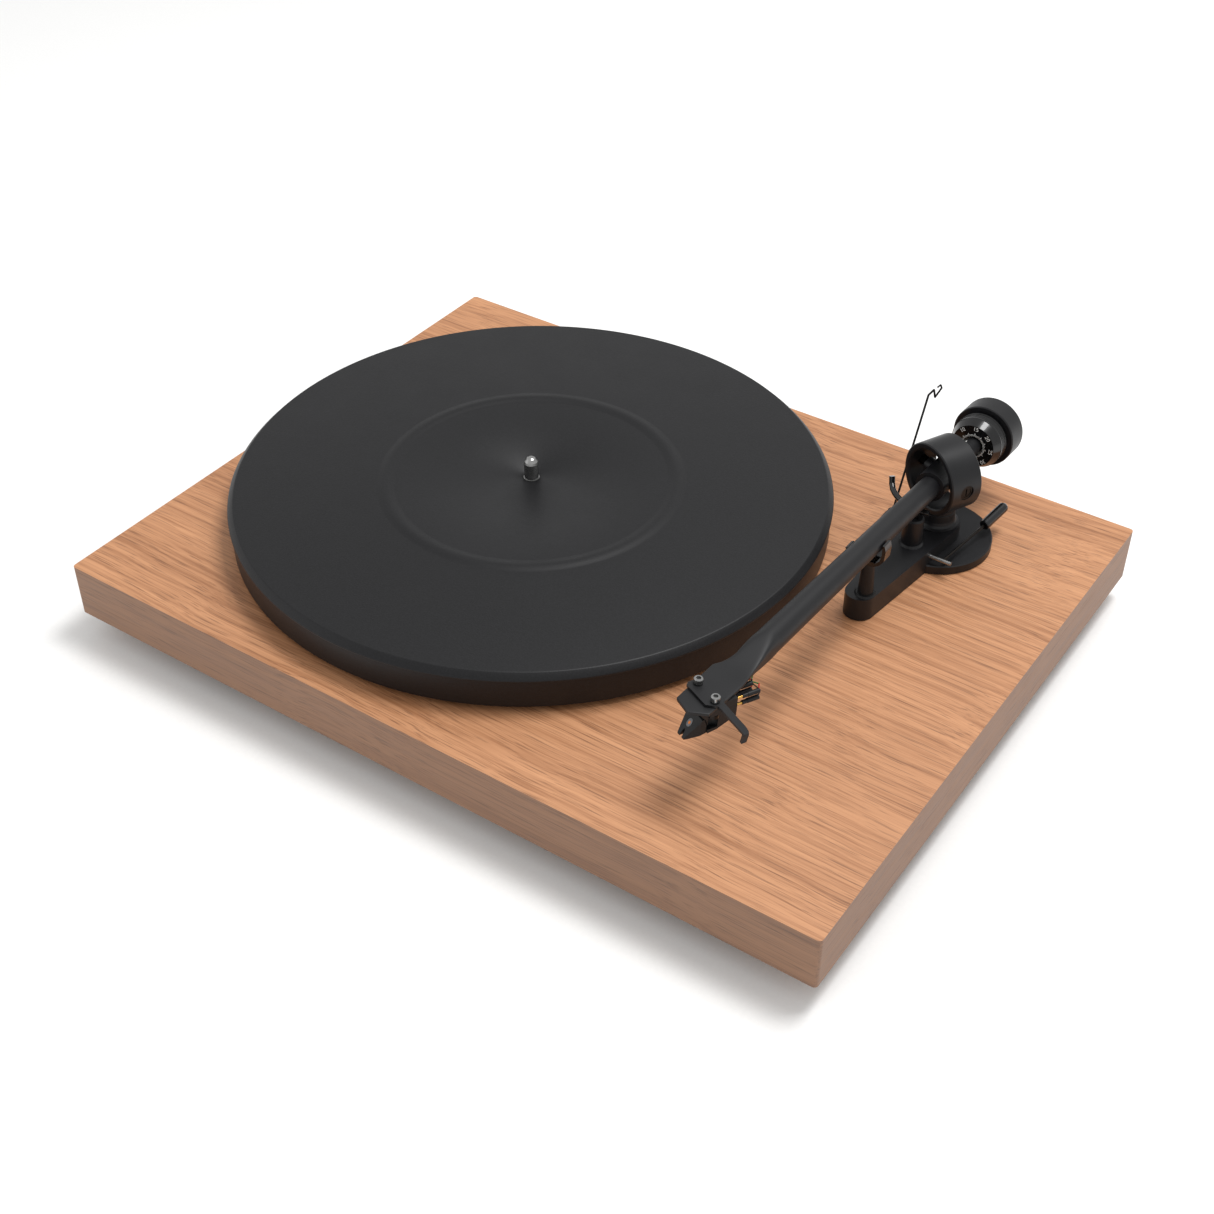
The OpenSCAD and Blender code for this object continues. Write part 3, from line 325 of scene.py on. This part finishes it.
def colour_islands(name, kinds):
    """One finish for each separate solid in a node, from the lowest to the highest left end."""
    mesh = frame["nodes"][name].data
    dress([name], kinds[0])
    for kind in kinds[1:]:
        mesh.materials.append(finish(kind))
    bm = bmesh.new()
    bm.from_mesh(mesh)
    islands, seen = [], set()
    for seed in bm.faces:
        if seed in seen:
            continue
        island, front = [], [seed]
        seen.add(seed)
        while front:
            face = front.pop()
            island.append(face)
            for edge in face.edges:
                for other in edge.link_faces:
                    if other not in seen:
                        seen.add(other)
                        front.append(other)
        islands.append(island)
    islands.sort(key=lambda island: min(v.co.x for f in island for v in f.verts))
    for k, island in enumerate(islands):
        for face in island:
            face.material_index = k % len(kinds)
    bm.to_mesh(mesh)
    bm.free()


# ---------- geometry helpers ----------

def add_piece(name, mesh, kind, body, smooth=35):
    o = bpy.data.objects.new(name, mesh)
    bpy.context.scene.collection.objects.link(o)
    mesh.materials.clear()
    mesh.materials.append(finish(kind))
    mesh.shade_smooth()
    mesh.set_sharp_from_angle(angle=math.radians(smooth))
    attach(o, body)
    return o


def mesh_from(name, build):
    bm = bmesh.new()
    build(bm)
    bmesh.ops.recalc_face_normals(bm, faces=bm.faces)
    mesh = bpy.data.meshes.new(name)
    bm.to_mesh(mesh)
    bm.free()
    return mesh


def lathe(name, profile, frame_matrix, steps=None):
    """Closed profile of (radius, height) in metres turned about local Z, then placed."""
    count = steps or sizes().lathe_steps

    def build(bm):
        rings = []
        for r, z in profile:
            if r < 1e-7:
                rings.append([bm.verts.new((0, 0, z))] * count)
            else:
                rings.append([bm.verts.new((r * math.cos(2 * math.pi * k / count),
                                            r * math.sin(2 * math.pi * k / count), z)) for k in range(count)])
        for a, b in zip(rings, rings[1:] + rings[:1]):
            for k in range(count):
                corners = []
                for v in (a[k], a[(k + 1) % count], b[(k + 1) % count], b[k]):
                    if v not in corners:
                        corners.append(v)
                if len(corners) > 2:
                    bm.faces.new(corners)
    mesh = mesh_from(name, build)
    mesh.transform(frame_matrix)
    return mesh


def joint(name):
    return next(j for j in frame["joints"] if j["name"] == name)


def arm_frame():
    """Matrix of the tonearm: origin at its pivot, -Y along the tube, Z up from the headshell."""
    dip = joint("arm_dip")
    origin, pin = Vector(dip["pos_m"]), Vector(dip["axis"])
    tilt = math.radians(-dip["range_deg"][0])
    back = Vector(joint("weight_travel")["axis"]).normalized()
    up = Matrix.Rotation(tilt, 3, pin) @ Vector((0, 0, 1))
    right = back.cross(up).normalized()
    return Matrix.Translation(origin) @ Matrix((right, back, up)).transposed().to_4x4()


def cartridge_frame():
    """Matrix of the cartridge: origin between its screws, -Y forward."""
    arm = arm_frame()
    back = -Vector(joint("stylus_pull")["axis"]).normalized()
    up = (arm.to_3x3() @ Vector((0, 0, 1))).normalized()
    right = back.cross(up).normalized()
    origin = arm @ Vector((-1.1 * MM, -sizes().screws_reach, 0))
    return Matrix.Translation(origin) @ Matrix((right, back, up)).transposed().to_4x4()


# ---------- operators, one for each piece or group of like pieces ----------

class RP_OT_plinth(bpy.types.Operator):
    """Veneers the plinth board and softens its edges"""
    bl_idname = "rp.plinth"
    bl_label = "Plinth"

    def execute(self, context):
        dress(["plinth"], "veneer", sizes().plinth_edge)
        return {"FINISHED"}


class RP_OT_feet(bpy.types.Operator):
    """Dresses the four feet: cups, rubber pads and bolts"""
    bl_idname = "rp.feet"
    bl_label = "Feet"

    def execute(self, context):
        dress(["foot_cups"], "plastic", sizes().soft_edge)
        dress(["foot_pads"], "rubber")
        dress(["foot_bolts"], "steel")
        return {"FINISHED"}


class RP_OT_platter(bpy.types.Operator):
    """Turns the platter with its raised ring, and dresses the damping ring under it"""
    bl_idname = "rp.platter"
    bl_label = "Platter"

    def execute(self, context):
        low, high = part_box("platter")
        centre = (low + high) / 2
        r, h = (high.x - low.x) / 2 / MM, (high.z - low.z) / MM
        top = h - 0.9
        ridge = []
        for k in range(25):
            u = k / 24
            ridge.append((67.6 + 9.8 * u, top + 0.9 * math.sin(math.pi * u) ** 1.5))
        lip = [(r - 3.4, top), (r - 3.0, top - 0.06), (r - 2.6, top - 0.3), (r - 0.35, top - 2.6),
               (r - 0.08, top - 3.0), (r, top - 3.4), (r - 0.1, top - 3.8), (r - 0.5, top - 4.1), (r - 0.9, top - 4.3)]
        rest = [(r - 0.9, 0.9), (r - 1.1, 0.3), (r - 1.7, 0), (r - 9, 0), (r - 10, 1), (r - 10, top - 8.2),
                (r - 12, top - 5.9), (4.06, top - 5.9), (4.06, top - 0.4), (4.45, top)]
        profile = [(a * MM, b * MM) for a, b in ridge + lip + rest]
        mesh = lathe("platter_turned", profile, Matrix.Translation((centre.x, centre.y, low.z)))
        piece = add_piece("platter_turned", mesh, "powder", "platter", 50)
        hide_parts("platter")
        dress(["damping_ring"], "rubber")
        return {"FINISHED"}


class RP_OT_drive(bpy.types.Operator):
    """Dresses the sub-platter, spindle, belt, pulley and motor shaft"""
    bl_idname = "rp.drive"
    bl_label = "Drive"

    def execute(self, context):
        dress(["sub_platter"], "ivory", sizes().soft_edge)
        dress(["spindle_shaft", "motor_shaft"], "steel")
        dress(["drive_belt"], "rubber")
        dress(["motor_pulley"], "aluminium")
        return {"FINISHED"}


class RP_OT_bearing(bpy.types.Operator):
    """Dresses the platter bearing and the hardware that holds it"""
    bl_idname = "rp.bearing"
    bl_label = "Bearing"

    def execute(self, context):
        dress(["bearing_housing", "bearing_bush"], "brass", sizes().soft_edge)
        dress(["thrust_pad"], "ivory")
        dress(["thrust_ball", "bearing_screws", "cover_screws", "motor_screws"], "steel")
        return {"FINISHED"}


class RP_OT_motor(bpy.types.Operator):
    """Dresses the motor, its bracket, grommets and cover"""
    bl_idname = "rp.motor"
    bl_label = "Motor"

    def execute(self, context):
        dress(["motor_can"], "steel")
        dress(["motor_bracket"], "blackened")
        dress(["motor_grommets"], "rubber")
        dress(["motor_cover", "board_cover", "switch_body", "switch_rocker"], "plastic", sizes().soft_edge)
        return {"FINISHED"}


class RP_OT_electrics(bpy.types.Operator):
    """Dresses the circuit board, the sockets and the leads under the plinth"""
    bl_idname = "rp.electrics"
    bl_label = "Electrics"

    def execute(self, context):
        dress(["circuit_board"], "board")
        dress(["socket_plate"], "satin")
        dress(["phono_sockets", "earth_terminal"], "gold")
        dress(["power_socket"], "plastic")
        dress(["lead_wires"], "black")
        return {"FINISHED"}


class RP_OT_arm_base(bpy.types.Operator):
    """Dresses the arm base, its nut, the pillar and the ball races in it"""
    bl_idname = "rp.arm_base"
    bl_label = "Arm base"

    def execute(self, context):
        dress(["arm_base"], "satin", 0.0006)
        dress(["arm_pillar"], "satin", sizes().soft_edge)
        dress(["arm_base_nut"], "blackened")
        dress(["pillar_bearings", "yaw_shaft"], "steel")
        return {"FINISHED"}


class RP_OT_lift(bpy.types.Operator):
    """Dresses the cueing lift, its bow, and the lever with its bright pivot pin"""
    bl_idname = "rp.lift"
    bl_label = "Cueing lift"

    def execute(self, context):
        dress(["lift_cylinder"], "satin", sizes().soft_edge)
        dress(["lift_bow"], "gloss")
        dress(["lift_lever"], "blackened")
        low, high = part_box("lift_lever")
        split_finish("lift_lever", "steel", lambda p: p.y < low.y + 2.2 * MM)
        dress(["lever_sleeve"], "gloss")
        return {"FINISHED"}


class RP_OT_rest(bpy.types.Operator):
    """Dresses the arm rest's post and fork"""
    bl_idname = "rp.rest"
    bl_label = "Arm rest"

    def execute(self, context):
        dress(["rest_post"], "plastic", sizes().soft_edge)
        dress(["rest_clip"], "gloss", 0.00035)
        return {"FINISHED"}


class RP_OT_skating_wire(bpy.types.Operator):
    """Dresses the bent anti-skate wire"""
    bl_idname = "rp.skating_wire"
    bl_label = "Skating wire"

    def execute(self, context):
        dress(["skating_wire"], "satin")
        return {"FINISHED"}


class RP_OT_gimbal(bpy.types.Operator):
    """Dresses the gimbal ring, its pivot screws, lock nuts and the collar inside"""
    bl_idname = "rp.gimbal"
    bl_label = "Gimbal"

    def execute(self, context):
        dress(["gimbal_ring"], "satin", 0.00035)
        dress(["arm_collar"], "satin", sizes().soft_edge)
        dress(["pivot_screws"], "blackened", 0.00012)
        dress(["pivot_locknuts"], "blackened", 0.00012)
        return {"FINISHED"}


class RP_OT_tube(bpy.types.Operator):
    """Draws the tube that flattens into the headshell, and dresses the finger lift"""
    bl_idname = "rp.tube"
    bl_label = "Arm tube and headshell"

    def execute(self, context):
        left = ((161.4, -6.05), (173, -5.5), (180.8, -5.3), (185, -6.1), (188.6, -7.5), (191.8, -9.5),
                (219, -9.6), (223.4, -1.6))
        right = ((161.4, 6.05), (173, 5.9), (185, 6.6), (191, 7.1), (195.8, 7.6), (203.8, 7.4), (215.5, 6.5), (219.4, 6.4),
                 (223.4, -0.8))

        def along(line, at):
            for (a, x), (b, y) in zip(line, line[1:]):
                if at <= b:
                    return x + (y - x) * max(0.0, at - a) / (b - a)
            return line[-1][1]
        stations = [3.2, 3.5, 40, 90, 140, FLARE_START] + [FLARE_START + k for k in range(1, 31)] \
            + [192, 194, 196, 200, 204, 210, 215.5, 218.6, 219.4, 220.5, 222, 223.2, 223.4]
        sides = 64

        def tube(bm):
            rings = []
            for at in stations:
                u = min(1.0, max(0.0, (at - FLARE_START) / FLARE_LENGTH))
                u = u * u * (3 - 2 * u)
                r = 5.3 + 0.8 * min(1.0, at / FLARE_START)
                low, high = (-r, r) if at <= FLARE_START else (along(left, at), along(right, at))
                top, under = r + (PLATE_TOP - r) * u, -r + (r - 0.08) * u
                power = 2 / (2 + 7 * u)
                ring = []
                for k in range(sides):
                    a = 2 * math.pi * k / sides
                    x = (low + high) / 2 + (high - low) / 2 * math.copysign(abs(math.cos(a)) ** power, math.cos(a))
                    z = (top + under) / 2 + (top - under) / 2 * math.copysign(abs(math.sin(a)) ** power, math.sin(a))
                    ring.append(bm.verts.new((x * MM, -at * MM, z * MM)))
                rings.append(ring)
            for a, b in zip(rings, rings[1:]):
                for k in range(sides):
                    bm.faces.new((a[k], a[(k + 1) % sides], b[(k + 1) % sides], b[k]))
            bm.faces.new(rings[0])
            bm.faces.new(rings[-1])
        mesh = mesh_from("tube_and_headshell", tube)
        mesh.transform(arm_frame())
        piece = add_piece("tube_and_headshell", mesh, "anodised", "arm", 40)
        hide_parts("arm_tube")
        dress(["rear_stub"], "anodised", 0.0002)
        dress(["finger_lift"], "satin", 0.0002)
        return {"FINISHED"}


class RP_OT_cartridge(bpy.types.Operator):
    """Dresses the cartridge, its screws, pins, sleeves, wires and stylus, and adds the holder's badge"""
    bl_idname = "rp.cartridge"
    bl_label = "Cartridge"

    def execute(self, context):
        dress(["cartridge_body", "stylus_holder"], "plastic", 0.00025)
        dress(["cartridge_screws"], "steel")
        into = cartridge_frame().inverted()
        split_finish("cartridge_screws", "blackened", lambda p: (into @ p).z < 1.4 * MM)
        dress(["contact_pins"], "gold")
        dress(["tag_sleeves"], "plastic")
        dress(["cantilever"], "aluminium")
        slope = Vector((0, -2.8, -3.7)).normalized()
        middle = Vector((0, -7.05, -10.78))
        out = Vector((0, -3.7, 2.8)).normalized()
        for name, kind, half, long, lift in (
                ("badge_oval", "grey", 1.35, 1.9, 0.02),
                ("badge_mark", "orange", 0.6, 0.75, 0.05)):
            def oval(bm, half=half, long=long, lift=lift):
                rims = [[bm.verts.new((middle + out * (lift + step) + Vector((1, 0, 0)) * half * size * math.cos(a)
                                       + slope * long * size * math.sin(a)) * MM)
                         for a in (2 * math.pi * k / 40 for k in range(40))]
                        for size, step in ((1, -0.1), (1, 0.02), (0.92, 0.05))]
                for low, top in zip(rims, rims[1:]):
                    for k in range(40):
                        bm.faces.new((low[k], low[(k + 1) % 40], top[(k + 1) % 40], top[k]))
                bm.faces.new(rims[-1])
                bm.faces.new(rims[0])
            mesh = mesh_from(name, oval)
            mesh.transform(cartridge_frame())
            add_piece(name, mesh, kind, "stylus")
        colour_islands("cartridge_wires", ("red", "white", "green", "black"))
        return {"FINISHED"}


class RP_OT_counterweight(bpy.types.Operator):
    """Dresses the counterweight and prints the scale on its dial"""
    bl_idname = "rp.counterweight"
    bl_label = "Counterweight and dial"

    def execute(self, context):
        dress(["weight_bush"], "ivory")
        dress(["counterweight"], "satin", 0.0004)
        dress(["scale_ring"], "gloss", 0.0001)
        face = arm_frame() @ Matrix.Translation((0, 32.5 * MM - 0.00003, 0)) @ Matrix.Rotation(math.radians(90), 4, "X")

        def ticks(bm):
            for k in range(60):
                a = 2 * math.pi * k / 60
                inner, outer = 5.3, 7.1 if k % 5 == 0 else 6.3
                spin = Matrix.Rotation(a, 4, "Z")
                corners = [(-0.11, inner), (0.11, inner), (0.11, outer), (-0.11, outer)]
                bm.faces.new([bm.verts.new(face @ spin @ Vector((x * MM, y * MM, 0))) for x, y in corners])
        marks = add_piece("dial_ticks", mesh_from("dial_ticks", ticks), "mark", "dial")
        solid = marks.modifiers.new("ink", "SOLIDIFY")
        solid.thickness = 0.00003
        digits = []
        for k, text in enumerate(["0", "5", "10", "15", "20", "25", "30", "35"]):
            font = bpy.data.curves.new("digit_" + text, "FONT")
            font.body = text
            font.size = 2.9 * MM
            font.align_x = "CENTER"
            font.align_y = "CENTER"
            font.extrude = 0.00001
            holder = bpy.data.objects.new("digit_holder", font)
            context.scene.collection.objects.link(holder)
            bpy.context.view_layer.update()
            mesh = bpy.data.meshes.new_from_object(holder.evaluated_get(context.evaluated_depsgraph_get()))
            bpy.data.objects.remove(holder)
            turn = Matrix.Rotation(math.radians(135 - 45 * k), 4, "Z")
            mesh.transform(face @ turn @ Matrix.Translation((0, 9.4 * MM, 0)))
            digits.append(mesh)
        bm = bmesh.new()
        for mesh in digits:
            bm.from_mesh(mesh)
        joined = bpy.data.meshes.new("dial_digits")
        bm.to_mesh(joined)
        bm.free()
        add_piece("dial_digits", joined, "mark", "dial")
        dot = arm_frame() @ Matrix.Translation((0, 29.2 * MM, 0)) @ Matrix.Rotation(math.radians(-42), 4, "Y") \
            @ Matrix.Translation((0, 0, 4.12 * MM))
        profile = [(0, 0), (0.8 * MM, 0), (0.8 * MM, 0.1 * MM), (0.6 * MM, 0.16 * MM), (0, 0.18 * MM)]
        add_piece("index_dot", lathe("index_dot", profile, dot, 32), "mark", "arm")
        return {"FINISHED"}


class RP_OT_stage(bpy.types.Operator):
    """Lays the pale floor and sets the soft studio lights and the camera"""
    bl_idname = "rp.stage"
    bl_label = "Stage"

    def execute(self, context):
        scene = context.scene
        floor = bpy.data.meshes.new("floor")
        size = 6.0
        floor.from_pydata([(-size, -size, 0), (size, -size, 0), (size, size, 0), (-size, size, 0)], [], [(0, 1, 2, 3)])
        ground = bpy.data.objects.new("floor", floor)
        scene.collection.objects.link(ground)
        floor.materials.append(grained("studio_floor_paper", colours().floor, 0.8, 0.002, 0.00002, tint=0.01))
        ground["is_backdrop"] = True
        world = bpy.data.worlds.new("studio")
        scene.world = world
        world.use_nodes = True
        world.node_tree.nodes["Background"].inputs["Color"].default_value = (1, 1, 1, 1)
        world.node_tree.nodes["Background"].inputs["Strength"].default_value = 0.72
        target = Vector((0, 0, 0.04))
        for name, place, width, power in (
                ("key_softbox", (0.35, 0.35, 1.6), 0.6, 19.0),
                ("front_fill", (-1.3, -0.9, 0.7), 1.2, 2.0)):
            lamp = bpy.data.lights.new(name, "AREA")
            lamp.size = width
            lamp.energy = power
            holder = bpy.data.objects.new(name, lamp)
            holder.location = place
            holder.rotation_euler = (target - Vector(place)).to_track_quat("-Z", "Y").to_euler()
            scene.collection.objects.link(holder)
            holder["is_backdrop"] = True
        low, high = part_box("plinth")
        aim = Vector((24.71 * MM, -38.71 * MM, high.z))
        eye = Vector((390.396 * MM, -572.693 * MM, high.z + 530.035 * MM))
        camera = bpy.data.cameras.new("camera")
        camera.sensor_width = 36
        camera.lens = 52.49
        holder = bpy.data.objects.new("camera", camera)
        holder.location = eye
        holder.rotation_euler = (aim - eye).to_track_quat("-Z", "Y").to_euler()
        scene.collection.objects.link(holder)
        scene.camera = holder
        scene.view_settings.view_transform = "Standard"
        return {"FINISHED"}


PIECES = (RP_OT_plinth, RP_OT_feet, RP_OT_platter, RP_OT_drive, RP_OT_bearing, RP_OT_motor, RP_OT_electrics,
          RP_OT_arm_base, RP_OT_lift, RP_OT_rest, RP_OT_skating_wire, RP_OT_gimbal, RP_OT_tube,
          RP_OT_cartridge, RP_OT_counterweight, RP_OT_stage)


class RP_PT_panel(bpy.types.Panel):
    bl_idname = "RP_PT_panel"
    bl_label = "Record Player"
    bl_space_type = "VIEW_3D"
    bl_region_type = "UI"
    bl_category = "Record Player"

    def draw(self, context):
        for group in (context.scene.rp_colours, context.scene.rp_sizes):
            for name in group.__annotations__:
                self.layout.prop(group, name)
        for piece in PIECES:
            self.layout.operator(piece.bl_idname)


CLASSES = (RP_Colours, RP_Sizes) + PIECES + (RP_PT_panel,)


def register():
    for c in CLASSES:
        bpy.utils.register_class(c)
    bpy.types.Scene.rp_colours = bpy.props.PointerProperty(type=RP_Colours)
    bpy.types.Scene.rp_sizes = bpy.props.PointerProperty(type=RP_Sizes)


def unregister():
    del bpy.types.Scene.rp_sizes
    del bpy.types.Scene.rp_colours
    for c in reversed(CLASSES):
        bpy.utils.unregister_class(c)


def plain(bounds):
    return [list(map(float, corner)) if hasattr(corner, "__len__") else float(corner) for corner in bounds]


def main():
    start = plain(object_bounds())
    register()
    for piece in PIECES:
        group, name = piece.bl_idname.split(".")
        if getattr(getattr(bpy.ops, group), name)() != {"FINISHED"}:
            raise RuntimeError(piece.bl_idname + " did not finish")
    {"start": start, "end": plain(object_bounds())}


if __name__ == "__main__":
    main()
